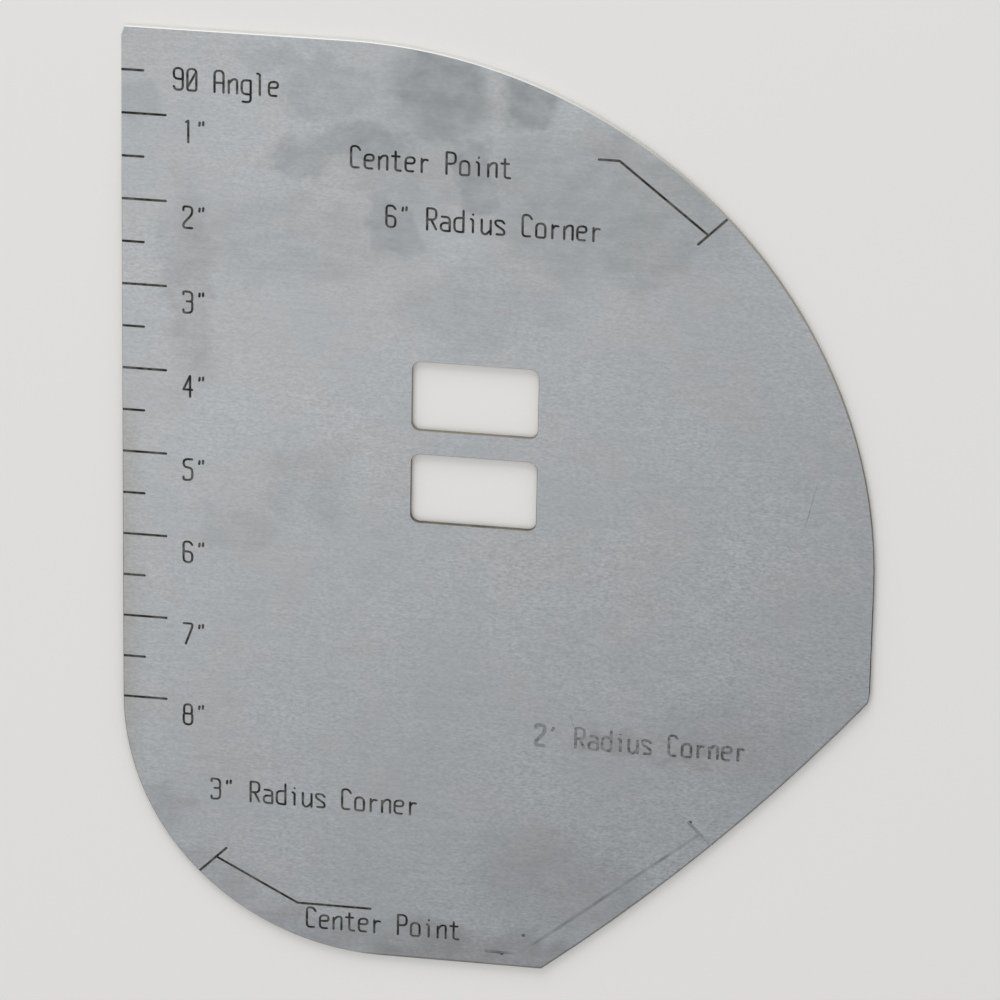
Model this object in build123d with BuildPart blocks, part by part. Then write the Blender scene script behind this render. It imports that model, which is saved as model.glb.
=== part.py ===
from build123d import *
import os

# Radius template: one flat sheet-steel plate whose corners gauge a square corner and three radii.
# The plate lies face up on its underside. +X runs along the top edge, away from the square corner,
# +Y runs up the scale towards the square corner, and +Z is the engraved face's outward normal.
# The origin is the middle of the underside's bounding rectangle. All sizes are in millimetres.

# Sheet blank
plate_width = 8.5 * IN
plate_height = 11 * IN
plate_thickness = 1.6
edge_break = 0.15

# Rounded corners that the template gauges, and how much of its corner the shallow arc takes off
large_radius = 6 * IN
small_radius = 3 * IN
shallow_radius = 24 * IN
shallow_leg = 92.4

# Wear: small flats on the square corner and at the right end of the shallow arc
square_wear_along_side = 2.6
square_wear_along_top = 0.9
right_wear_along_side = 2.4
right_wear_along_arc = 0.7

# Twin windows, one above the other, placed from the square corner
window_width = 36
window_height = 20.8
window_corner_radius = 2.5
window_bridge = 7.2
windows_across = 3.99 * IN
windows_down = 4.64 * IN

# Engraving: every line is a shallow groove with round ends
line_width = 0.55
line_depth = 0.12

# Inch scale down the left side
scale_unit = 1 * IN
divisions = 2
whole_line_length = 0.5 * IN
part_line_length = 0.25 * IN

# Marks on the middle line of each rounded corner
mark_length = 0.45 * IN
shallow_mark_length = 0.385 * IN

# Leader lines: how far in from the plate's edge each leaves its mark, then its runs to the left
# or right and up or down, ending in a level run
large_leader_inset = 0.29 * IN
large_leader_slant = (-1.0 * IN, 0.79 * IN)
large_leader_level = -0.23 * IN
small_leader_inset = 0.28 * IN
small_leader_slant = (0.95 * IN, -0.5 * IN)
small_leader_level = 0.85 * IN
shallow_leader_inset = 0.19 * IN
shallow_leader_slant = (-2.04 * IN, -1.69 * IN)
shallow_leader_level = -0.39 * IN


def plate_point(across, down):
    """A point of the plate, given from the square corner: across to the right, and down."""
    return Vector(across - plate_width / 2, plate_height / 2 - down)


def groove(*points):
    """Draw one engraved line through the points, with round ends, in the sketch that is open."""
    SlotArc(Wire.make_polygon(points, close=False), line_width)


def corner_mark(middle, outward, length, inset, slant, level):
    """Draw the mark on a rounded corner's middle line, and the leader line that points at it.

    The mark starts past the plate's edge, so that its groove is open there.
    """
    groove(middle + outward * line_width, middle - outward * length)
    elbow = middle - outward * inset + Vector(*slant)
    groove(middle - outward * inset, elbow, elbow + Vector(level, 0))


# Centres of the two quarter arcs, and the two ends of the shallow arc
large_centre = plate_point(plate_width - large_radius, large_radius)
small_centre = plate_point(small_radius, plate_height - small_radius)
shallow_right_end = plate_point(plate_width, plate_height - shallow_leg)
shallow_lower_end = plate_point(plate_width - shallow_leg, plate_height)

# Each rounded corner's middle line, and the point where it meets the plate's edge
up_right = Vector(1, 1).normalized()
down_left = Vector(-1, -1).normalized()
down_right = Vector(1, -1).normalized()
half_chord = (shallow_right_end - shallow_lower_end).length / 2
shallow_bulge = shallow_radius - (shallow_radius**2 - half_chord**2) ** 0.5
large_middle = large_centre + up_right * large_radius
small_middle = small_centre + down_left * small_radius
shallow_middle = (shallow_right_end + shallow_lower_end) / 2 + down_right * shallow_bulge

# The scale's last line is the one at, or just before, the end of the straight side
straight_side = plate_height - small_radius
scale_step = scale_unit / divisions
rounding = 0.001
line_count = int(straight_side / scale_step + rounding)


with BuildPart() as template_plate:
    # Outline, clockwise from the square corner, with the shallow arc bulging outwards
    with BuildSketch():
        with BuildLine():
            wear_top = plate_point(square_wear_along_top, 0)
            wear_side = plate_point(0, square_wear_along_side)
            right_wear_start = shallow_right_end + Vector(0, right_wear_along_side)
            right_wear_end = shallow_right_end + down_left * right_wear_along_arc
            Line(wear_top, large_centre + Vector(0, large_radius))
            CenterArc(large_centre, large_radius, 90, -90)
            Line(large_centre + Vector(large_radius, 0), right_wear_start)
            Line(right_wear_start, right_wear_end)
            RadiusArc(right_wear_end, shallow_lower_end, shallow_radius)
            Line(shallow_lower_end, small_centre - Vector(0, small_radius))
            CenterArc(small_centre, small_radius, 270, -90)
            Line(small_centre - Vector(small_radius, 0), wear_side)
            Line(wear_side, wear_top)
        make_face()

        # Twin windows
        with Locations(plate_point(windows_across, windows_down)):
            with GridLocations(0, window_height + window_bridge, 1, 2):
                RectangleRounded(window_width, window_height, window_corner_radius, mode=Mode.SUBTRACT)
    extrude(amount=plate_thickness)

    # Deburred rims, on both faces of the sheet
    chamfer(template_plate.faces().filter_by(Axis.Z).edges(), edge_break)

    # Engraved lines: the scale, open at the plate's left edge, and the marks on the corners
    with BuildSketch(Plane.XY.offset(plate_thickness)):
        for number in range(1, line_count + 1):
            length = whole_line_length if number % divisions == 0 else part_line_length
            down = number * scale_step
            groove(plate_point(-line_width, down), plate_point(length, down))
        corner_mark(
            large_middle, up_right, mark_length, large_leader_inset, large_leader_slant, large_leader_level
        )
        corner_mark(
            small_middle, down_left, mark_length, small_leader_inset, small_leader_slant, small_leader_level
        )
        corner_mark(
            shallow_middle,
            down_right,
            shallow_mark_length,
            shallow_leader_inset,
            shallow_leader_slant,
            shallow_leader_level,
        )
    extrude(amount=-line_depth, mode=Mode.SUBTRACT)

template_plate.part.label = "template_plate"

os.makedirs("parts", exist_ok=True)
export_step(template_plate.part, "parts/template_plate.step")
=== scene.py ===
# %% [markdown]
# A radius template is one flat steel plate. Its corners are held against a rounded corner of some
# work: one is square, and the others have radii of 3 inches, 6 inches and 2 feet. A scale in inches
# runs down one side, and short marks show the middle of each rounded corner.
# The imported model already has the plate's true outline, its two windows and its straight engraved
# lines. This lesson adds what makes it look like steel: the lettering, the wear and the finishes.

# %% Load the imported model
import math

import bmesh
import bpy
from mathutils import Matrix, Vector


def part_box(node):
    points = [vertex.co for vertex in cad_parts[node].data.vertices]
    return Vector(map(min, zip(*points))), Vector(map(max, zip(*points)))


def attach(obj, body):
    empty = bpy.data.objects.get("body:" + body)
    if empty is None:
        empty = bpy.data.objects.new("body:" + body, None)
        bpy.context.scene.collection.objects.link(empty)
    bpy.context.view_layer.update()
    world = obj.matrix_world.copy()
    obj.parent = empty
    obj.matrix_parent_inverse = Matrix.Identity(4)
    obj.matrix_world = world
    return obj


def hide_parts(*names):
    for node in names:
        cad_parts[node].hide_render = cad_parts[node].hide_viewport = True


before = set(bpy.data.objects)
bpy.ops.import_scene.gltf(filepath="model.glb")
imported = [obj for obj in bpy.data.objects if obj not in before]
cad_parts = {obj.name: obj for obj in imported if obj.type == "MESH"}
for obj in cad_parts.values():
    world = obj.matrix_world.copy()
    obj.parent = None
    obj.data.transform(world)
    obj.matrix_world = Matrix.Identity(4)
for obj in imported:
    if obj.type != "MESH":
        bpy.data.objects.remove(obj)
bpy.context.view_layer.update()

# %% [markdown]
# Every length in Blender is in metres here, but a toolmaker thinks in inches and millimetres. Two
# named units let each size be written as it would be on the drawing. Places on the plate are given
# as they are measured on the bench: so far across, and so far down, from the square corner.

# %% Units and places on the plate
mm = 0.001
inch = 25.4 * mm

lowest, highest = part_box("template_plate")
face_height = highest.z


def plate_point(across, down):
    """The place on the plate that lies this many inches across and down from the square corner."""
    return Vector((lowest.x + across * inch, highest.y - down * inch, face_height))


print("plate:", [round(side / mm, 2) for side in highest - lowest], "mm")

# %% [markdown]
# The camera looks down on the plate from past its top edge, a little to the right, from two metres
# away through a long lens. A long lens keeps the far end of the plate almost as wide as the near
# end. Three directions at right angles make the camera's turning matrix: right, up and backwards.
# Building them from the plate's own +Y keeps the scale on the left and the square corner on top.

# %% Camera
lens_length = 244.0
sensor_width = 36
camera_azimuth = math.radians(159.7)
camera_elevation = math.radians(66.39)
camera_roll = math.radians(-1.05)
camera_distance = 1.9177
aim = Vector((1.0 * mm, 6.2 * mm, face_height))

backwards = Vector(
    (
        math.sin(camera_azimuth) * math.cos(camera_elevation),
        -math.cos(camera_azimuth) * math.cos(camera_elevation),
        math.sin(camera_elevation),
    )
)
plate_up = Vector((0, 1, 0))
level_up = (plate_up - backwards * plate_up.dot(backwards)).normalized()
level_right = level_up.cross(backwards)
up = level_up * math.cos(camera_roll) + level_right * math.sin(camera_roll)
right = up.cross(backwards)

camera_data = bpy.data.cameras.new("bench_camera")
camera_data.lens = lens_length
camera_data.sensor_width = sensor_width
camera = bpy.data.objects.new("bench_camera", camera_data)
camera.matrix_world = Matrix.Translation(aim + backwards * camera_distance) @ Matrix(
    (right, up, backwards)
).transposed().to_4x4()
bpy.context.scene.collection.objects.link(camera)
bpy.context.scene.camera = camera
print("camera at", [round(value, 3) for value in camera.matrix_world.translation])

# %% [markdown]
# Painters and web designers write colours as sRGB hex values, but light adds up in linear values,
# and those are what Blender's sockets take. One function turns the first into the second. A second
# small function adds any node to a material with its settings and its links, so each finish below
# reads as a list of what it is made of.

# %% Colours and nodes
def linear(hex_colour):
    """Turn an sRGB hex colour into the linear red, green, blue and alpha of a Blender socket."""
    channels = [int(hex_colour[start : start + 2], 16) / 255 for start in (1, 3, 5)]
    return [c / 12.92 if c <= 0.04045 else ((c + 0.055) / 1.055) ** 2.4 for c in channels] + [1]


def add_node(tree, kind, inputs=None, **settings):
    """Add a node. Each input is a value, or the output of another node to link to."""
    node = tree.nodes.new(kind)
    for name, value in settings.items():
        setattr(node, name, value)
    for socket, value in (inputs or {}).items():
        if isinstance(value, bpy.types.NodeSocket):
            tree.links.new(value, node.inputs[socket])
        else:
            node.inputs[socket].default_value = value
    return node


def new_material(name):
    """Start a material with an empty node tree. Returns the material and its tree."""
    material = bpy.data.materials.new(name)
    material.use_nodes = True
    material.node_tree.nodes.clear()
    return material, material.node_tree


print("mid steel grey, linear:", [round(c, 3) for c in linear("#B4B9BC")])

# %% [markdown]
# The plate lies on a plain pale table top. A curved backdrop would hide a horizon, but the camera
# looks down so steeply that a flat square, far wider than the view, does as well. It has a matt
# paint. It lies a tenth of a millimetre lower than the plate, so that no two faces share one plane.

# %% Floor
floor_size = 3.0
floor_drop = 0.1 * mm
floor_colour = "#F4F3F1"

floor_paint, tree = new_material("matt_table_paint")
paint = add_node(
    tree, "ShaderNodeBsdfPrincipled", {"Base Color": linear(floor_colour), "Roughness": 0.9}
)
add_node(tree, "ShaderNodeOutputMaterial", {"Surface": paint.outputs["BSDF"]})

floor_mesh = bpy.data.meshes.new("floor")
bm = bmesh.new()
bmesh.ops.create_grid(bm, x_segments=1, y_segments=1, size=floor_size / 2)
bm.to_mesh(floor_mesh)
bm.free()
floor_mesh.materials.append(floor_paint)
floor = bpy.data.objects.new("floor", floor_mesh)
floor.location.z = lowest.z - floor_drop
bpy.context.scene.collection.objects.link(floor)
print("floor:", floor_size, "m across")

# %% [markdown]
# Steel shows its surroundings, so the lamps are large and soft. One wide panel hangs where the face
# mirrors it to the camera and gives the plate its even grey. A smaller, stronger one stands low
# behind the top edge and picks out that edge as a bright line. The world fills in from all sides.
# A lamp's power is worked out from the brightness that it should show: watts are brightness times
# pi times its area.

# %% Light
world_brightness = 0.55

world = bpy.data.worlds.new("studio")
world.use_nodes = True
world.node_tree.nodes.clear()
sky = add_node(
    world.node_tree,
    "ShaderNodeBackground",
    {"Color": (1, 1, 1, 1), "Strength": world_brightness},
)
add_node(world.node_tree, "ShaderNodeOutputWorld", {"Surface": sky.outputs["Background"]})
bpy.context.scene.world = world
bpy.context.scene.view_settings.view_transform = "Standard"


def add_panel(name, place, size, brightness):
    """Hang a square lamp panel at a place, turned to face the plate."""
    lamp = bpy.data.lights.new(name, "AREA")
    lamp.size = size
    lamp.energy = brightness * math.pi * size**2
    panel = bpy.data.objects.new(name, lamp)
    panel.location = place
    panel.rotation_euler = (-Vector(place)).to_track_quat("-Z", "Y").to_euler()
    bpy.context.scene.collection.objects.link(panel)
    print(name, "gives", round(lamp.energy, 1), "W")


add_panel("overhead_panel", place=(-0.35, -0.45, 1.45), size=1.5, brightness=0.5)
add_panel("edge_panel", place=(-0.35, 2.3, 1.0), size=1.2, brightness=5.5)

# %% [markdown]
# The body of the plate is cold-rolled steel sheet. To the eye it is a soft grey that is never quite
# even. The finish is built in layers, and the first is the rolled surface itself: broad clouds, a
# closer mottling, faint marks along the sheet and a short, gritty grain. Each is a noise with its
# real size along and across the rolling direction, which runs across the plate. The steel's own
# grain is finer than the camera can see, so it is drawn at the smallest size that still shows. The
# last noise has no look of its own: it will make the outlines of the stains wander.

# %% Rolled surface
steel, tree = new_material("cold_rolled_steel")
on_object = add_node(tree, "ShaderNodeTexCoord").outputs["Object"]

pattern_sizes = {
    "clouds": (48 * mm, 40 * mm),
    "tints": (30 * mm, 26 * mm),
    "mottle": (7 * mm, 5 * mm),
    "rolling": (26 * mm, 1.1 * mm),
    "grain": (1.1 * mm, 0.5 * mm),
    "wander": (17 * mm, 17 * mm),
}
noise_mean = 0.5
patterns = {}
for name, (along, across) in pattern_sizes.items():
    stretched = add_node(
        tree,
        "ShaderNodeVectorMath",
        {0: on_object, 1: (1 / along, 1 / across, 1 / along)},
        operation="MULTIPLY",
    )
    patterns[name] = add_node(
        tree,
        "ShaderNodeTexNoise",
        {"Vector": stretched.outputs["Vector"], "Scale": 1, "Detail": 3, "Roughness": 0.6},
    ).outputs
print("rolled surface:", ", ".join(patterns))

# %% [markdown]
# A painted shade darkens the plate towards its lower right end. One direction across the plate
# measures how far a place lies that way, and the base colour slides from light to dark along it.
# Clouds of a cooler and a warmer grey lie over it, because rolled steel never has only one hue. A
# noise seldom strays far from one half, so it is stretched between two values on either side.

# %% Painted shade and tint
towards_lower_right = (0.6, -0.8, 0)
painted_shade_start = -75 * mm
painted_shade_end = 105 * mm
cool_noise = 0.36
warm_noise = 0.64

reach = add_node(
    tree, "ShaderNodeVectorMath", {0: on_object, 1: towards_lower_right}, operation="DOT_PRODUCT"
)
# Painted shade: the base colour darkens along this slide towards the lower right.
painted_shade_slide = add_node(
    tree,
    "ShaderNodeMapRange",
    {"Value": reach.outputs["Value"], "From Min": painted_shade_start, "From Max": painted_shade_end},
).outputs["Result"]
shaded_tone = add_node(
    tree,
    "ShaderNodeMix",
    {"Factor": painted_shade_slide, "A": linear("#BDBFC1"), "B": linear("#A3A6A9")},
    data_type="RGBA",
)
tint_change = add_node(
    tree,
    "ShaderNodeMapRange",
    {"Value": patterns["tints"]["Fac"], "From Min": cool_noise, "From Max": warm_noise},
    interpolation_type="SMOOTHSTEP",
)
tint = add_node(
    tree,
    "ShaderNodeMix",
    {"Factor": tint_change.outputs["Result"], "A": linear("#FAFCFD"), "B": linear("#FCFBFB")},
    data_type="RGBA",
)
colour = add_node(
    tree,
    "ShaderNodeMix",
    {"Factor": 1.0, "A": shaded_tone.outputs["Result"], "B": tint.outputs["Result"]},
    data_type="RGBA",
    blend_type="MULTIPLY",
).outputs["Result"]
print("the plate darkens over", round((painted_shade_end - painted_shade_start) / mm), "mm")

# %% [markdown]
# Oil and fingers have left stains with ragged outlines. A painted mask could draw them, but a few
# ovals are enough if their outlines wander. Every place on the plate is first pushed about by a
# noise, and the distance to an oval is then measured from where the place was pushed to. Taking the
# noise's mean away from it first makes it push both ways.

# %% Wandering outlines
wander_reach = 24 * mm
wander = add_node(
    tree,
    "ShaderNodeVectorMath",
    {0: patterns["wander"]["Color"], 1: (noise_mean, noise_mean, noise_mean)},
    operation="SUBTRACT",
)
wandering = add_node(
    tree,
    "ShaderNodeVectorMath",
    {0: wander.outputs["Vector"], 1: (wander_reach, wander_reach, 0), 2: on_object},
    operation="MULTIPLY_ADD",
).outputs["Vector"]
print("a place is pushed by up to", round(wander_reach / 2 / mm), "mm")

# %% [markdown]
# The stains are a list of ovals, each with a place on the plate, a size and a strength. Oil is a
# cool grey. Tarnish comes from damp hands and is a darker and warmer grey.

# %% Places of the stains
# Each stain: inches across and down, half width and half height, and strength
oil_stains = [
    (3.53, 0.62, 0.58, 0.55, 0.80),
    (4.53, 0.63, 0.32, 0.36, 0.85),
    (3.97, 1.48, 0.26, 0.45, 0.70),
    (3.00, 2.08, 0.32, 0.30, 0.60),
    (2.74, 1.22, 0.55, 0.24, 0.70),
    (2.02, 1.50, 0.42, 0.22, 0.50),
    (1.75, 0.20, 0.35, 0.20, 0.35),
    (2.10, 2.30, 1.20, 0.50, 0.25),
    (0.22, 0.90, 0.18, 0.26, 0.30),
    (2.10, 5.20, 0.50, 0.50, 0.25),
    (1.30, 5.80, 0.42, 0.32, 0.20),
    (2.30, 0.60, 0.55, 0.40, 0.35),
    (4.10, 2.90, 0.90, 0.45, 0.25),
    (3.30, 1.35, 1.00, 0.55, 0.35),
    (5.50, 1.70, 1.50, 0.85, 0.50),
    (3.00, 10.85, 1.10, 0.30, 0.60),
]
tarnish_stains = [
    (5.60, 8.12, 0.48, 0.14, 0.40),
    (6.60, 8.14, 0.50, 0.14, 0.40),
    (6.63, 8.37, 0.14, 0.09, 0.45),
    (5.10, 9.90, 0.95, 0.60, 0.30),
    (4.20, 10.90, 1.30, 0.30, 0.60),
    (6.95, 7.99, 0.85, 0.50, 0.20),
    (0.75, 2.90, 0.28, 1.15, 0.25),
    (0.38, 9.60, 0.30, 0.60, 0.28),
    (0.95, 10.30, 0.55, 0.40, 0.26),
    (1.95, 10.80, 0.80, 0.28, 0.30),
]
stain_colours = {"#969A9C": oil_stains, "#878688": tarnish_stains}
print("stains:", sum(len(stains) for stains in stain_colours.values()))

# %% [markdown]
# Each oval is full in its middle and fades out towards its outline. Where two of a kind overlap,
# the stronger one counts and not their sum, so a maximum joins them. The mottling of the steel
# makes every stain thinner in some places than in others. Oil and tarnish also fill the grain, so
# how much they cover is kept for the step that draws the grain.

# %% Lay the stains on
thin_noise = 0.35
thick_noise = 0.65
thin_cover = 0.65
thick_cover = 1.1
fades_out_at = 1.35
full_at = 0.7

unevenness = add_node(
    tree,
    "ShaderNodeMapRange",
    {
        "Value": patterns["mottle"]["Fac"],
        "From Min": thin_noise,
        "From Max": thick_noise,
        "To Min": thin_cover,
        "To Max": thick_cover,
    },
)
smoothness = 0.0
for stain_colour, stains in stain_colours.items():
    cover = 0.0
    for across, down, half_width, half_height, strength in stains:
        from_middle = add_node(
            tree,
            "ShaderNodeVectorMath",
            {0: wandering, 1: plate_point(across, down)},
            operation="SUBTRACT",
        )
        in_halves = add_node(
            tree,
            "ShaderNodeVectorMath",
            {
                0: from_middle.outputs["Vector"],
                1: (1 / (half_width * inch), 1 / (half_height * inch), 0),
            },
            operation="MULTIPLY",
        )
        distance = add_node(
            tree, "ShaderNodeVectorMath", {0: in_halves.outputs["Vector"]}, operation="LENGTH"
        )
        stain = add_node(
            tree,
            "ShaderNodeMapRange",
            {
                "Value": distance.outputs["Value"],
                "From Min": fades_out_at,
                "From Max": full_at,
                "To Max": strength,
            },
            interpolation_type="SMOOTHSTEP",
        )
        cover = add_node(
            tree, "ShaderNodeMath", {0: stain.outputs["Result"], 1: cover}, operation="MAXIMUM"
        ).outputs["Value"]
    cover = add_node(
        tree, "ShaderNodeMath", {0: cover, 1: unevenness.outputs["Result"]}, operation="MULTIPLY"
    ).outputs["Value"]
    colour = add_node(
        tree,
        "ShaderNodeMix",
        {"Factor": cover, "A": colour, "B": linear(stain_colour)},
        data_type="RGBA",
    ).outputs["Result"]
    smoothness = add_node(
        tree, "ShaderNodeMath", {0: cover, 1: smoothness}, operation="MAXIMUM"
    ).outputs["Value"]
print("steel and stains have", len(tree.nodes), "nodes so far")

# %% [markdown]
# Along the bottom and the shallow arc a dark line of painted shade runs just inside the deburred
# rim. It could be a strip of narrow faces, but the plate's own outline can draw it: how far a place
# lies from the bottom edge, and how far from the middle of the arc's circle.

# %% Painted shade along the rim
shallow_radius = 24 * inch
shallow_leg = 92.4 * mm
rim_shade_starts = 0.75 * mm
rim_shade_full = 0.25 * mm
rim_shade_strength = 0.6

arc_right = Vector((highest.x, lowest.y + shallow_leg, 0))
arc_left = Vector((highest.x - shallow_leg, lowest.y, 0))
towards_circle = Vector((-1, 1, 0)).normalized()
circle_distance = math.sqrt(shallow_radius**2 - ((arc_right - arc_left).length / 2) ** 2)
circle_middle = (arc_right + arc_left) / 2 + towards_circle * circle_distance

place = add_node(tree, "ShaderNodeSeparateXYZ", {"Vector": on_object})
flat_place = add_node(
    tree, "ShaderNodeVectorMath", {0: on_object, 1: (1, 1, 0)}, operation="MULTIPLY"
)
from_circle = add_node(
    tree,
    "ShaderNodeVectorMath",
    {0: flat_place.outputs["Vector"], 1: circle_middle},
    operation="DISTANCE",
)
# Painted shade: a thin dark line is laid along the bottom edge and along the shallow arc.
bottom_rim_shade = add_node(
    tree,
    "ShaderNodeMapRange",
    {
        "Value": place.outputs["Y"],
        "From Min": lowest.y + rim_shade_starts,
        "From Max": lowest.y + rim_shade_full,
        "To Max": rim_shade_strength,
    },
)
arc_rim_shade = add_node(
    tree,
    "ShaderNodeMapRange",
    {
        "Value": from_circle.outputs["Value"],
        "From Min": shallow_radius - rim_shade_starts,
        "From Max": shallow_radius - rim_shade_full,
        "To Max": rim_shade_strength,
    },
)
painted_rim_shade = add_node(
    tree,
    "ShaderNodeMath",
    {0: bottom_rim_shade.outputs["Result"], 1: arc_rim_shade.outputs["Result"]},
    operation="MAXIMUM",
)
colour = add_node(
    tree,
    "ShaderNodeMix",
    {"Factor": painted_rim_shade.outputs["Value"], "A": colour, "B": linear("#55564A")},
    data_type="RGBA",
).outputs["Result"]
print("middle of the arc's circle:", [round(value / mm, 1) for value in circle_middle], "mm")

# %% [markdown]
# Down the lower part of the scale, thumbs have left an olive tarnish that fades out a few
# millimetres from the edge. It is drawn as the product of two slides: one inwards from the scale's
# edge, and one down the plate. The same mottling as in the stains makes it uneven.

# %% Thumbed edge
thumbed_width = 7 * mm
thumbed_from = plate_point(0, 4.3).y
thumbed_all = plate_point(0, 4.7).y
thumbed_strength = 0.42

near_scale = add_node(
    tree,
    "ShaderNodeMapRange",
    {
        "Value": place.outputs["X"],
        "From Min": lowest.x + thumbed_width,
        "From Max": lowest.x,
        "To Max": thumbed_strength,
    },
)
low_enough = add_node(
    tree,
    "ShaderNodeMapRange",
    {"Value": place.outputs["Y"], "From Min": thumbed_from, "From Max": thumbed_all},
)
thumbed = add_node(
    tree,
    "ShaderNodeMath",
    {0: near_scale.outputs["Result"], 1: low_enough.outputs["Result"]},
    operation="MULTIPLY",
)
uneven_thumbed = add_node(
    tree,
    "ShaderNodeMath",
    {0: thumbed.outputs["Value"], 1: unevenness.outputs["Result"]},
    operation="MULTIPLY",
)
colour = add_node(
    tree,
    "ShaderNodeMix",
    {"Factor": uneven_thumbed.outputs["Value"], "A": colour, "B": linear("#9B968A")},
    data_type="RGBA",
).outputs["Result"]
print("thumbed edge:", round(thumbed_width / mm), "mm wide, full below", round(thumbed_all / mm))

# %% [markdown]
# The grain is what makes the surface look like metal and not like paint. It grows towards the
# lower right along the same slide as the painted shade, it is lost under the stains, and it comes
# and goes with the clouds. Three factors say so, and their product is how far the grain lightens and
# darkens the colour.

# %% Strength of the grain
grain_swing_min = 0.5
grain_swing_max = 0.8
grain_lost_in_stains = 0.8
grain_change_with_clouds = 2.5

# The grain's strength rises along the painted shade slide towards the lower right.
grain_swing = add_node(
    tree,
    "ShaderNodeMapRange",
    {"Value": painted_shade_slide, "To Min": grain_swing_min, "To Max": grain_swing_max},
)
grain_left = add_node(
    tree,
    "ShaderNodeMath",
    {0: smoothness, 1: -grain_lost_in_stains, 2: 1.0},
    operation="MULTIPLY_ADD",
)
grain_share = add_node(
    tree,
    "ShaderNodeMath",
    {0: grain_swing.outputs["Result"], 1: grain_left.outputs["Value"]},
    operation="MULTIPLY",
)
cloud_share = add_node(
    tree,
    "ShaderNodeMath",
    {
        0: patterns["clouds"]["Fac"],
        1: grain_change_with_clouds,
        2: 1 - grain_change_with_clouds * noise_mean,
    },
    operation="MULTIPLY_ADD",
)
clouded_grain = add_node(
    tree,
    "ShaderNodeMath",
    {0: grain_share.outputs["Value"], 1: cloud_share.outputs["Value"]},
    operation="MULTIPLY",
)
print("the grain swings the colour by", grain_swing_min, "to", grain_swing_max)

# %% [markdown]
# Each pattern of the rolled surface lightens the colour where its noise is above its mean and
# darkens it where it is below, so the plate stays as bright on the whole as it was chosen. The sum
# of them all is one brightness, by which the colour is multiplied.

# %% Light and dark
swings = {"clouds": 0.16, "mottle": 0.22, "rolling": 0.14}
shares = {**swings, "grain": clouded_grain.outputs["Value"]}

brightness = 1.0
for name, share in shares.items():
    off_mean = add_node(
        tree, "ShaderNodeMath", {0: patterns[name]["Fac"], 1: noise_mean}, operation="SUBTRACT"
    )
    brightness = add_node(
        tree,
        "ShaderNodeMath",
        {0: off_mean.outputs["Value"], 1: share, 2: brightness},
        operation="MULTIPLY_ADD",
    ).outputs["Value"]
colour = add_node(
    tree,
    "ShaderNodeVectorMath",
    {0: colour, "Scale": brightness},
    operation="SCALE",
).outputs["Vector"]
print("patterns in the colour:", ", ".join(shares))

# %% [markdown]
# The finished colour goes into one shader. Steel is a metal all through, so metallic is 1, and its
# roughness is that of a rolled and handled sheet, which mirrors only broad lamps. The mottling
# changes how sharply it mirrors, and the grain raises the surface by a few hundredths of a
# millimetre, so that it catches the light.

# %% Steel shader
roughness_mean = 0.46
roughness_swing = 0.25
grain_height = 0.03 * mm

off_mean = add_node(
    tree, "ShaderNodeMath", {0: patterns["mottle"]["Fac"], 1: noise_mean}, operation="SUBTRACT"
)
roughness = add_node(
    tree,
    "ShaderNodeMath",
    {0: off_mean.outputs["Value"], 1: roughness_swing, 2: roughness_mean},
    operation="MULTIPLY_ADD",
)
grain_bump = add_node(
    tree,
    "ShaderNodeBump",
    {"Height": patterns["grain"]["Fac"], "Distance": grain_height, "Strength": 1.0},
)
shader = add_node(
    tree,
    "ShaderNodeBsdfPrincipled",
    {
        "Base Color": colour,
        "Metallic": 1.0,
        "Roughness": roughness.outputs["Value"],
        "Normal": grain_bump.outputs["Normal"],
    },
)
add_node(tree, "ShaderNodeOutputMaterial", {"Surface": shader.outputs["BSDF"]})
print("cold-rolled steel has", len(tree.nodes), "nodes")

# %% [markdown]
# The cut edge is where the sheet was sheared. Along the top a painted highlight makes it near
# white, which gives the plate a white outline there. Down the sides it is dull grey, and over the
# lower half it is dark with oxide in patches a few millimetres long, deepened by painted shade. A
# material for each side would change at a line, so one material reads how far up the plate a place
# lies.

# %% Sheared edge
top_highlight_from = 88 * mm
top_highlight_all = 130 * mm
oxide_and_shade_from = 60 * mm
oxide_and_shade_all = -20 * mm
patch_size = 4 * mm
dark_noise = 0.4
rusty_noise = 0.6

edge, tree = new_material("sheared_edge_steel")
on_object = add_node(tree, "ShaderNodeTexCoord").outputs["Object"]
place = add_node(tree, "ShaderNodeSeparateXYZ", {"Vector": on_object})
# Painted highlight: the edge turns near white towards the top of the plate.
painted_top_highlight = add_node(
    tree,
    "ShaderNodeMapRange",
    {"Value": place.outputs["Y"], "From Min": top_highlight_from, "From Max": top_highlight_all},
)
patches = add_node(
    tree, "ShaderNodeTexNoise", {"Vector": on_object, "Scale": 1 / patch_size, "Detail": 3}
)
rusting = add_node(
    tree,
    "ShaderNodeMapRange",
    {"Value": patches.outputs["Fac"], "From Min": dark_noise, "From Max": rusty_noise},
)
oxide = add_node(
    tree,
    "ShaderNodeMix",
    {"Factor": rusting.outputs["Result"], "A": linear("#302E2A"), "B": linear("#5F594C")},
    data_type="RGBA",
)
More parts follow.
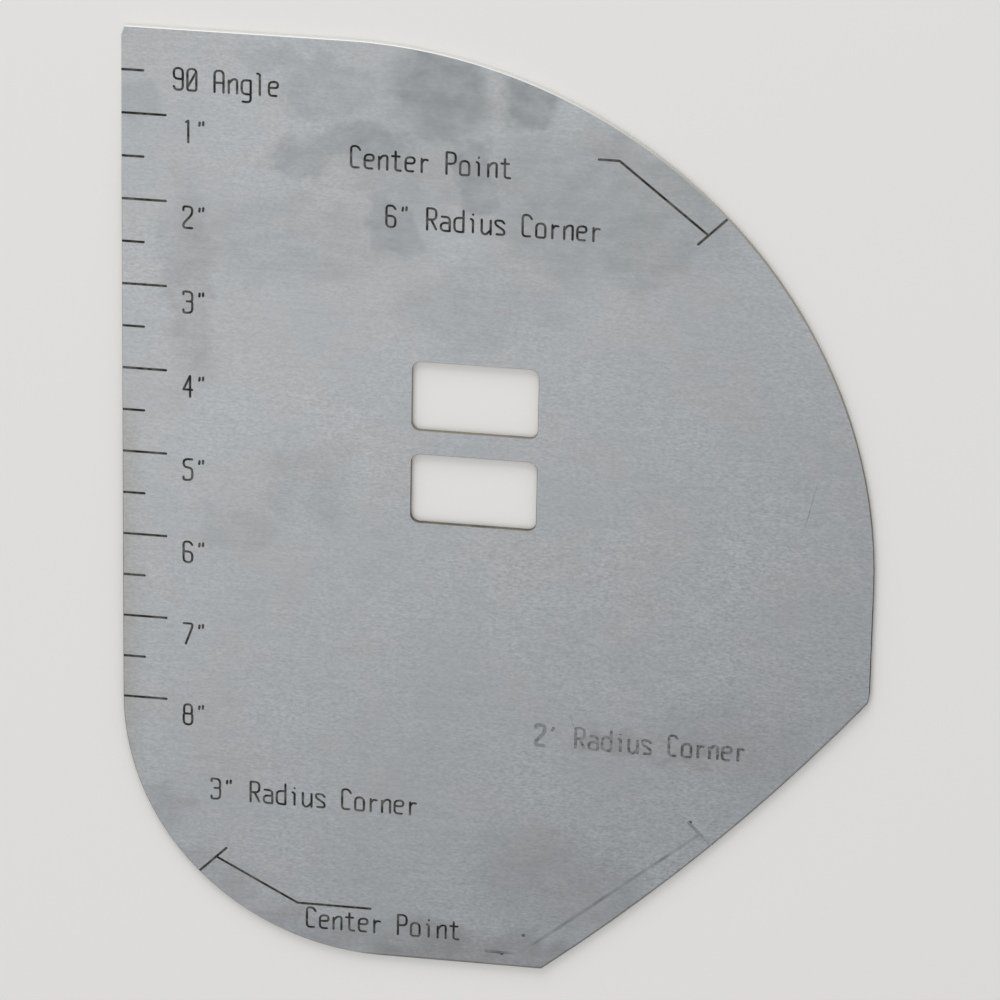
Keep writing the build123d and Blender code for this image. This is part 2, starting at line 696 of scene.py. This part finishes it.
# Real oxide with painted shade: the edge darkens towards the bottom of the plate.
oxide_and_shade = add_node(
    tree,
    "ShaderNodeMapRange",
    {"Value": place.outputs["Y"], "From Min": oxide_and_shade_from, "From Max": oxide_and_shade_all},
)
dull = add_node(
    tree,
    "ShaderNodeMix",
    {
        "Factor": oxide_and_shade.outputs["Result"],
        "A": linear("#A29E93"),
        "B": oxide.outputs["Result"],
    },
    data_type="RGBA",
)
colour = add_node(
    tree,
    "ShaderNodeMix",
    {"Factor": painted_top_highlight.outputs["Result"], "A": dull.outputs["Result"], "B": linear("#E6E6E3")},
    data_type="RGBA",
)
shader = add_node(
    tree,
    "ShaderNodeBsdfPrincipled",
    {"Base Color": colour.outputs["Result"], "Metallic": 0.4, "Roughness": 0.55},
)
add_node(tree, "ShaderNodeOutputMaterial", {"Surface": shader.outputs["BSDF"]})
print("bright above", round(top_highlight_all / mm), "mm, oxidised below", round(oxide_and_shade_all / mm), "mm")

# %% [markdown]
# The lines and letters are burnt into the face, which leaves a near-black oxide in the groove. It
# is matt, so it hardly mirrors the lamps. The heat only dulled the steel at the groove's two rims,
# so the colour follows the depth: a brownish grey just under the face, and near black a little
# further down. Some strokes were burnt more lightly than others, which a noise decides.

# %% Burnt engraving
burn_size = 2.4 * mm
dulled_depth = 0.012 * mm
black_depth = 0.055 * mm
full_burn_noise = 0.4
light_burn_noise = 0.68

burnt, tree = new_material("burnt_oxide_engraving")
on_object = add_node(tree, "ShaderNodeTexCoord").outputs["Object"]
burns = add_node(
    tree, "ShaderNodeTexNoise", {"Vector": on_object, "Scale": 1 / burn_size, "Detail": 2}
)
light_burn = add_node(
    tree,
    "ShaderNodeMapRange",
    {
        "Value": burns.outputs["Fac"],
        "From Min": full_burn_noise,
        "From Max": light_burn_noise,
    },
)
oxide = add_node(
    tree,
    "ShaderNodeMix",
    {"Factor": light_burn.outputs["Result"], "A": linear("#2A2B2A"), "B": linear("#666662")},
    data_type="RGBA",
)
place = add_node(tree, "ShaderNodeSeparateXYZ", {"Vector": on_object})
burnt_through = add_node(
    tree,
    "ShaderNodeMapRange",
    {
        "Value": place.outputs["Z"],
        "From Min": face_height - dulled_depth,
        "From Max": face_height - black_depth,
    },
)
colour = add_node(
    tree,
    "ShaderNodeMix",
    {
        "Factor": burnt_through.outputs["Result"],
        "A": linear("#84827C"),
        "B": oxide.outputs["Result"],
    },
    data_type="RGBA",
)
shader = add_node(
    tree,
    "ShaderNodeBsdfPrincipled",
    {"Base Color": colour.outputs["Result"], "Roughness": 0.8, "Specular IOR Level": 0.1},
)
add_node(tree, "ShaderNodeOutputMaterial", {"Surface": shader.outputs["BSDF"]})
print("the groove is black from", round(black_depth / mm, 3), "mm down")

# %% [markdown]
# The marks by the shallow arc are worn, and the oxide is left in them only in part. The same steps
# make two finishes from it. In the words it has broken into specks, fewest on the left, with bare
# steel between them. In the corner's mark and leader line it has faded evenly to a thin grey, and
# right beside the arc, where work rubs most, it has gone.

# %% Worn engraving
most_worn = plate_point(4.6, 8).x
least_worn = plate_point(6.4, 8).x
towards_arc = -towards_circle
rubbing_start = 109.5 * mm
rubbing_end = 112.5 * mm

# Each finish: size of its patches, colour without and with oxide, the noise values that stand for
# these two, and how much the noise rises from the left end of the words to the right end
worn_kinds = {
    "speckled_oxide_engraving": (1.1 * mm, "#919497", "#5B5D5B", 0.53, 0.80, 0.2),
    "faded_oxide_engraving": (7 * mm, "#A6A8AB", "#767A7D", 0.28, 0.75, -0.14),
}
worn_finishes = []
for name, (patch, bare_colour, oxide_colour, bare_at, oxide_at, rise) in worn_kinds.items():
    finish, tree = new_material(name)
    on_object = add_node(tree, "ShaderNodeTexCoord").outputs["Object"]
    place = add_node(tree, "ShaderNodeSeparateXYZ", {"Vector": on_object})
    kept = add_node(
        tree,
        "ShaderNodeMapRange",
        {
            "Value": place.outputs["X"],
            "From Min": most_worn,
            "From Max": least_worn,
            "To Max": rise,
        },
    )
    specks = add_node(
        tree, "ShaderNodeTexNoise", {"Vector": on_object, "Scale": 1 / patch, "Detail": 2}
    )
    both = add_node(
        tree,
        "ShaderNodeMath",
        {0: specks.outputs["Fac"], 1: kept.outputs["Result"]},
        operation="ADD",
    )
    near_arc = add_node(
        tree, "ShaderNodeVectorMath", {0: on_object, 1: towards_arc}, operation="DOT_PRODUCT"
    )
    rubbed_off = add_node(
        tree,
        "ShaderNodeMapRange",
        {
            "Value": near_arc.outputs["Value"],
            "From Min": rubbing_start,
            "From Max": rubbing_end,
        },
    )
    not_rubbed = add_node(
        tree,
        "ShaderNodeMath",
        {0: both.outputs["Value"], 1: rubbed_off.outputs["Result"]},
        operation="SUBTRACT",
    )
    oxide_left = add_node(
        tree,
        "ShaderNodeMapRange",
        {"Value": not_rubbed.outputs["Value"], "From Min": bare_at, "From Max": oxide_at},
    )
    colour = add_node(
        tree,
        "ShaderNodeMix",
        {
            "Factor": oxide_left.outputs["Result"],
            "A": linear(bare_colour),
            "B": linear(oxide_colour),
        },
        data_type="RGBA",
    )
    shader = add_node(
        tree,
        "ShaderNodeBsdfPrincipled",
        {"Base Color": colour.outputs["Result"], "Metallic": 0.7, "Roughness": 0.6},
    )
    add_node(tree, "ShaderNodeOutputMaterial", {"Surface": shader.outputs["BSDF"]})
    worn_finishes.append(finish)
speckled, faded = worn_finishes
finishes = [steel, edge, burnt, speckled, faded]
print("finishes:", ", ".join(finish.name for finish in finishes))

# %% [markdown]
# The CAD node is a fixed frame, so its mesh is copied before anything is done to it. The copy
# arrives as loose triangles, and merging their doubles makes it one closed body again, which a
# Boolean needs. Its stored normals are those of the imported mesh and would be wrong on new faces, so
# they go.

# %% Copy of the plate
plate_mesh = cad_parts["template_plate"].data.copy()
plate_mesh.name = "engraved_plate"
plate_mesh.attributes.remove(plate_mesh.attributes["custom_normal"])
plate_mesh.materials.clear()
for finish in finishes:
    plate_mesh.materials.append(finish)

weld_distance = 0.001 * mm
bm = bmesh.new()
bm.from_mesh(plate_mesh)
bmesh.ops.remove_doubles(bm, verts=bm.verts, dist=weld_distance)
bm.normal_update()
print("copy has", len(bm.faces), "faces and", len(bm.verts), "corners")

# %% [markdown]
# Each face gets its finish from the way it faces and from how deep it lies. What faces up or down
# is rolled steel, unless it lies in a groove, and what stands upright is the cut edge or a
# groove's side. Grooves near the shallow arc are worn. This is quicker than picking the faces by
# hand, and it holds when the plate is packed anew. The speckled finish is for words that are cut
# later, so no face has it yet.

# %% Finish of each face
groove_depth = 0.12 * mm
tolerance = 0.02 * mm
facing_up = 0.9
upright = 0.3
worn_corner = plate_point(4.0, 7.9)


def finish_of(face):
    """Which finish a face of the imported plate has: by the way it faces, and how deep it lies."""
    centre = face.calc_center_median()
    in_groove = face_height - groove_depth - tolerance < centre.z < face_height - tolerance
    if in_groove and (face.normal.z > facing_up or abs(face.normal.z) < upright):
        is_worn = centre.x > worn_corner.x and centre.y < worn_corner.y
        return finishes.index(faded if is_worn else burnt)
    return finishes.index(steel if abs(face.normal.z) > facing_up else edge)


for face in bm.faces:
    face.material_index = finish_of(face)
for number, finish in enumerate(finishes):
    print(finish.name, "on", sum(face.material_index == number for face in bm.faces), "faces")

# %% [markdown]
# The broad faces are a few very large triangles. Letters cut out of one of them would leave a face
# with hundreds of corners, which Blender can't fill cleanly. A grid of straight cuts divides them
# first. The cuts lie in the face, so the plate's form stays as it was packed.

# %% Grid of cuts
cell = 11.3 * mm
first_cut = 5.2 * mm
snap_distance = 0.002 * mm

for axis in (0, 1):
    direction = Vector((axis == 0, axis == 1, 0))
    cut_at = lowest[axis] + first_cut
    while cut_at < highest[axis]:
        bmesh.ops.bisect_plane(
            bm,
            geom=list(bm.verts) + list(bm.edges) + list(bm.faces),
            dist=snap_distance,
            plane_co=direction * cut_at,
            plane_no=direction,
        )
        cut_at += cell

loose_edges = [e for e in bm.edges if not e.is_manifold]
print("copy has", len(bm.faces), "faces and", len(loose_edges), "open edges")
bm.to_mesh(plate_mesh)
bm.free()

plate = bpy.data.objects.new("engraved_plate", plate_mesh)
bpy.context.scene.collection.objects.link(plate)

# %% [markdown]
# An engraving machine draws each letter with one line, so its alphabet is a set of strokes and not
# of outlines. Each stroke here is a few points on a small grid: 4 steps wide, 10 steps to the top
# of a capital, with the base line at 0. Rounding the corners later turns these few points into the
# soft, square letters of such a machine.

# %% Alphabet of strokes
alphabet = {
    "0": [[(2, 0), (0, 0), (0, 10), (4, 10), (4, 0), (2, 0)], [(0.4, 2), (3.6, 8)]],
    "1": [[(1.2, 9.3), (2.2, 10)], [(2.2, 10), (2.2, 0)]],
    "2": [[(0, 8.2), (0, 10), (4, 10), (4, 6.5), (0, 2), (0, 0), (4, 0)]],
    "3": [
        [(0, 8.6), (0, 10), (4, 10), (4, 5.4), (1.4, 5.4)],
        [(2.2, 5.4), (4, 5.4), (4, 0), (0, 0), (0, 1.4)],
    ],
    "4": [[(3, 10), (0, 3.4)], [(0, 3.4), (4, 3.4)], [(3, 10), (3, 0)]],
    "5": [[(4, 10), (0, 10), (0, 6), (4, 6), (4, 0), (0, 0), (0, 1.4)]],
    "6": [[(4, 8.5), (3, 10), (0, 10), (0, 0), (4, 0), (4, 5.2), (0, 5.2)]],
    "7": [[(0, 10), (4, 10), (4, 8.4), (1, 0)]],
    "8": [
        [(2, 5.4), (0.2, 5.4), (0.2, 10), (3.8, 10), (3.8, 5.4), (2, 5.4)],
        [(2, 5.4), (0, 5.4), (0, 0), (4, 0), (4, 5.4), (2, 5.4)],
    ],
    "9": [[(4, 5), (0, 5), (0, 10), (4, 10), (4, 0), (0.6, 0), (0, 1.6)]],
    '"': [[(1.3, 9.5), (1.1, 8.0)], [(2.9, 9.8), (2.8, 8.3)]],
    "'": [[(2.0, 9.3), (1.2, 7.7)]],
    "A": [[(0, 0), (0, 10), (4, 10), (4, 0)], [(0, 4.4), (4, 4.4)]],
    "C": [[(4, 8.3), (2.9, 10), (0, 10), (0, 0), (3.4, 0.2)]],
    "P": [[(0, 0), (0, 10)], [(0, 10), (4, 10), (4, 4.8), (0, 4.8)]],
    "R": [[(0, 0), (0, 10)], [(0, 10), (4, 10), (4, 4.8), (0, 4.8)], [(1.8, 4.8), (4, 0.4)]],
    "a": [[(0.4, 6.5), (4, 6.5), (4, 0)], [(4, 3.7), (0, 3.7), (0, 0), (4, 0)]],
    "d": [[(4, 10), (4, 0)], [(4, 6.5), (0, 6.5), (0, 0), (4, 0)]],
    "e": [[(0, 3.7), (4, 3.7), (4, 6.5), (0, 6.5), (0, 0), (3.4, 0.1)]],
    "g": [[(4, 6.3), (4, -3.8), (0.4, -3.5)], [(4, 6.3), (0, 6.5), (0, 0), (4, 0)]],
    "i": [[(1.2, 6.4), (2.2, 5.9), (2.2, 0.2)], [(2.2, 8.4), (2.2, 8.6)]],
    "l": [[(0.8, 9.8), (2, 9.6), (2, 0)]],
    "n": [[(0.3, 0), (0.3, 5.8)], [(0.3, 4.3), (1.9, 6.5), (4, 6.5), (4, 0)]],
    "o": [[(2, 0), (0, 0), (0, 6.5), (4, 6.5), (4, 0), (2, 0)]],
    "r": [[(1.1, 0), (1.1, 6.2)], [(1.1, 4.3), (2.2, 6), (3.8, 5.7)]],
    "s": [[(4, 5.3), (3, 6.5), (0, 6.5), (0, 4.6), (4, 2), (4, 0), (0.6, 0.1)]],
    "t": [[(1.6, 8.7), (1.6, 0), (4, 0)], [(0, 6.5), (3.4, 6.5)]],
    "u": [[(0, 6.5), (0, 0.4), (1.8, -0.6), (4, 1.8)], [(4, 6.3), (4, -0.2)]],
}
print("the alphabet has", len(alphabet), "signs")

# %% [markdown]
# A corner is rounded by cutting back from it along both lines and joining the two cuts with a short
# curve. The cut is never longer than half a line, so that two rounded corners can share one line.

# %% Rounded strokes
corner_cut = 2.0
curve_steps = (0, 0.33, 0.67, 1)


def rounded(points):
    """Round every corner of a stroke, given as points on the letter grid."""
    points = [Vector(point) for point in points]
    path = [points[0]]
    for before, corner, after in zip(points, points[1:], points[2:]):
        cut = min(corner_cut, (before - corner).length / 2, (after - corner).length / 2)
        start = corner.lerp(before, cut / (before - corner).length)
        end = corner.lerp(after, cut / (after - corner).length)
        for step in curve_steps:
            path.append(start.lerp(corner, step).lerp(corner.lerp(end, step), step))
    return path + [points[-1]]


sample = alphabet["C"][-1]
print("the stroke of a C goes from", len(sample), "points to", len(rounded(sample)))

# %% [markdown]
# A word is its letters' strokes, each moved on by one letter's width from the last. The machine
# gives every letter the same width, narrow or wide. One step of the grid is 0.025 inch, so a
# capital is a quarter of an inch high.

# %% Words from strokes
letter_step = 0.025
letter_advance = 0.1515


def word(text, across, base):
    """The strokes of a word. Its lower left corner is given in inches: across, and down to base."""
    strokes = []
    for number, sign in enumerate(text):
        left = across + number * letter_advance
        for stroke in alphabet.get(sign, []):
            path = rounded(stroke)
            strokes.append(
                [plate_point(left + p.x * letter_step, base - p.y * letter_step) for p in path]
            )
    return strokes


print("a capital is", round(10 * letter_step * inch / mm, 2), "mm high")

# %% [markdown]
# What is written on the plate is plain and says what each corner gauges. The scale has a number at
# each whole inch, just under its line. The label of the shallow arc is worn, and its first number
# is smeared as well, so these two are kept apart from the sharp ones.

# %% Words and numbers
whole_inches = range(1, 9)
number_left = 0.696
number_drop = 0.297

# Each label: its text, and inches across and down to its lower left corner
labels = [
    ("90 Angle", 0.59, 0.695),
    ("Center Point", 2.57, 1.458),
    ('6" Radius Corner', 2.97, 2.121),
    ('3" Radius Corner', 1.02, 9.197),
    ("Center Point", 2.137, 10.719),
]
worn_label_place = (4.748, 8.205)

lettering = []
for text, across, base in labels:
    lettering += word(text, across, base)
for inches in whole_inches:
    lettering += word(f'{inches}"', number_left, inches + number_drop)
smeared_lettering = word("2", *worn_label_place)
worn_lettering = word(" ' Radius Corner", *worn_label_place)
print("sharp strokes:", len(lettering))
print("smeared and worn strokes:", len(smeared_lettering), "and", len(worn_lettering))

# %% [markdown]
# Each stroke is cut by a round bar that follows it and dips into the face. A bevelled curve gives
# such a bar in one step, and thinner points past its two ends give it round tips. The bar's radius
# comes from the groove's width and depth, since a groove is a shallow slice of the bar. A bar's
# roundness is even, so one of its corners points straight down and reaches the full depth. Bars
# that cross are lifted by a hair's breadth from each other, so that no two of their faces
# coincide.

# %% Cutting bars
stagger = 0.0007 * mm
stagger_count = 7
tip_turns = [math.radians(degrees) for degrees in (84, 60, 30)]


def cutting_bars(strokes, width, depth, roundness, finish):
    """Make a mesh of round bars along strokes, with the finish that their grooves are to have."""
    radius = (depth**2 + (width / 2) ** 2) / (2 * depth)
    curve = bpy.data.curves.new("cutting_bars", "CURVE")
    curve.dimensions = "3D"
    curve.twist_mode = "Z_UP"
    curve.bevel_depth = radius
    curve.bevel_resolution = roundness
    curve.use_fill_caps = True
    for number, path in enumerate(strokes):
        lift = Vector((0, 0, radius - depth + number % stagger_count * stagger))
        ring = (path[0] - path[-1]).length < tolerance
        points = [(place, 1) for place in path[:-1]] if ring else [(place, 1) for place in path]
        if not ring:
            back = (path[0] - path[1]).normalized() * radius
            ahead = (path[-1] - path[-2]).normalized() * radius
            tips = [(math.sin(turn), math.cos(turn)) for turn in tip_turns]
            points = [(path[0] + back * reach, share) for reach, share in tips] + points
            points += [(path[-1] + ahead * reach, share) for reach, share in reversed(tips)]
        spline = curve.splines.new("POLY")
        spline.points.add(len(points) - 1)
        spline.use_cyclic_u = ring
        for point, (place, share) in zip(spline.points, points):
            point.co = (*(place + lift), 1)
            point.radius = share
    holder = bpy.data.objects.new("cutting_bars", curve)
    mesh = bpy.data.meshes.new_from_object(holder)
    bpy.data.objects.remove(holder)
    for polygon in mesh.polygons:
        polygon.material_index = finishes.index(finish)
    return mesh


print("every bar has", len(tip_turns), "thinner rings at each open end")

# %% [markdown]
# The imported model's straight lines have sharp rims. The burn rounds them off, so each line gets a
# shallow bar of its own, a little wider than the line. The scale has a long line at each inch and a
# short one half way. The other lines are the corner marks and the leader lines to them. Those by
# the shallow arc are kept apart, because their rims are worn wide and flat.

# %% Rims of the straight lines
half_inches = 16
past_edge = -0.02
whole_length = 0.5
part_length = 0.25

straight_lines = []
for number in range(1, half_inches + 1):
    length = whole_length if number % 2 == 0 else part_length
    down = number / 2
    straight_lines.append([plate_point(past_edge, down), plate_point(length, down)])
# Each line: inches across and down of its two ends
mark_lines = [
    [(6.757, 1.743), (6.424, 2.076)],
    [(6.538, 1.962), (5.538, 1.172)],
    [(5.538, 1.172), (5.308, 1.172)],
    [(0.865, 10.135), (1.197, 9.803)],
    [(1.077, 9.923), (2.027, 10.423)],
    [(2.027, 10.423), (2.877, 10.423)],
]
worn_mark_lines = [
    [(6.507, 9.007), (6.700, 9.200)],
    [(6.645, 9.145), (4.605, 10.835)],
    [(4.605, 10.835), (4.215, 10.835)],
]
straight_lines += [[plate_point(*end) for end in line] for line in mark_lines]
worn_lines = [[plate_point(*end) for end in line] for line in worn_mark_lines]
print(len(straight_lines), "straight lines and", len(worn_lines), "worn ones")

# %% [markdown]
# Wear is cut in the same way. A few thin scratches cross the right and lower right part, where the
# plate is slid over work. Three punched dots stand at the shallow arc's mark and leader line. A dot
# is a stroke so short that its two round tips meet.

# %% Scratches and dots
# Each scratch: inches across and down of its two ends
scratch_ends = [
    ((7.83, 4.79), (7.71, 5.32)),
    ((8.37, 6.02), (8.48, 5.95)),
    ((6.94, 6.60), (7.15, 6.93)),
    ((6.96, 8.33), (7.14, 8.54)),
    ((6.84, 8.60), (6.97, 8.76)),
    ((5.13, 7.80), (5.18, 7.95)),
]
dot_places = [(6.519, 9.009), (4.638, 10.598), (4.392, 10.851)]
dot_length = 0.025

scratches = [[plate_point(*start), plate_point(*end)] for start, end in scratch_ends]
dots = [
    [plate_point(across, down), plate_point(across + dot_length, down)]
    for across, down in dot_places
]
print(len(scratches), "scratches and", len(dots), "dots")

# %% [markdown]
# All the strokes are cut at once, so their bars join into one cutter. Its table says how wide and
# how deep each kind of groove is. The worn words are wider and shallower than the sharp ones,
# because their rims have been rubbed away, and the straight lines have their depth from the packed
# plate.

# %% One cutter for all grooves
weld_bars = 0.0001 * mm
grooves = [
    # strokes, width, depth, roundness of the bar, and finish
    (lettering, 0.78 * mm, groove_depth, 4, burnt),
    (straight_lines, 0.85 * mm, 0.09 * mm, 6, burnt),
    (worn_lettering, 0.9 * mm, 0.05 * mm, 16, speckled),
    (smeared_lettering, 1.1 * mm, 0.04 * mm, 20, speckled),
    (worn_lines, 1.0 * mm, 0.04 * mm, 20, faded),
    (scratches, 0.3 * mm, 0.02 * mm, 4, faded),
    (dots, 1.1 * mm, 0.08 * mm, 12, burnt),
]

cutter_mesh = bpy.data.meshes.new("cutter")
bm = bmesh.new()
for groove in grooves:
    bm.from_mesh(cutting_bars(*groove))
bmesh.ops.remove_doubles(bm, verts=bm.verts, dist=weld_bars)
bmesh.ops.recalc_face_normals(bm, faces=bm.faces)
open_edges = [e for e in bm.edges if not e.is_manifold]
print("cutter has", len(bm.faces), "faces and", len(open_edges), "open edges")
bm.to_mesh(cutter_mesh)
bm.free()
for finish in finishes:
    cutter_mesh.materials.append(finish)
cutter = bpy.data.objects.new("cutter", cutter_mesh)
bpy.context.scene.collection.objects.link(cutter)

# %% [markdown]
# The Boolean takes the bars away from the plate. The exact solver copes with bars that cross each
# other, when it is told that the cutter meets itself, and the faces it leaves keep the finish of
# the bar that cut them.

# %% Cut the lettering
cut = plate.modifiers.new("lettering", "BOOLEAN")
cut.operation = "DIFFERENCE"
cut.solver = "EXACT"
cut.use_self = True
cut.material_mode = "INDEX"
cut.object = cutter

depsgraph = bpy.context.evaluated_depsgraph_get()
cut_mesh = bpy.data.meshes.new_from_object(plate.evaluated_get(depsgraph), depsgraph=depsgraph)
plate.modifiers.clear()
plate.data = cut_mesh
bpy.data.objects.remove(cutter)
print("engraved plate has", len(cut_mesh.polygons), "faces")

# %% [markdown]
# The grooves are round, so their faces are shaded smooth, with a crease wherever the surface turns
# sharply. The broad faces are flat in truth, and they are shaded flat, because smoothing would
# carry the tilt of a groove's side into them as a streak.

# %% Shading
shading_angle = math.radians(25)
level = 0.9999
cut_mesh.set_sharp_from_angle(angle=shading_angle)
for polygon in cut_mesh.polygons:
    polygon.use_smooth = abs(polygon.normal.z) < level
print("smooth faces:", sum(polygon.use_smooth for polygon in cut_mesh.polygons))

# %% [markdown]
# A Boolean can leave a hole, or a face that is filled wrongly. Three measures would show it: edges
# that don't join two faces, the volume, and whether the triangles that fill the faces have the same
# area as the faces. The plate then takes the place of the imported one.

# %% Check the plate
cut_mesh.calc_loop_triangles()
filled_area = sum(triangle.area for triangle in cut_mesh.loop_triangles)
face_area = sum(polygon.area for polygon in cut_mesh.polygons)
print("area of the faces:", round(face_area / mm**2), "square millimetres")
print("area of their triangles:", round(filled_area / mm**2), "square millimetres")

bm = bmesh.new()
bm.from_mesh(cut_mesh)
open_edges = [e for e in bm.edges if not e.is_manifold]
volume = bm.calc_volume()
bm.free()
print("open edges:", len(open_edges), "and volume:", round(volume / mm**3), "cubic millimetres")

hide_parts("template_plate")
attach(plate, "root")
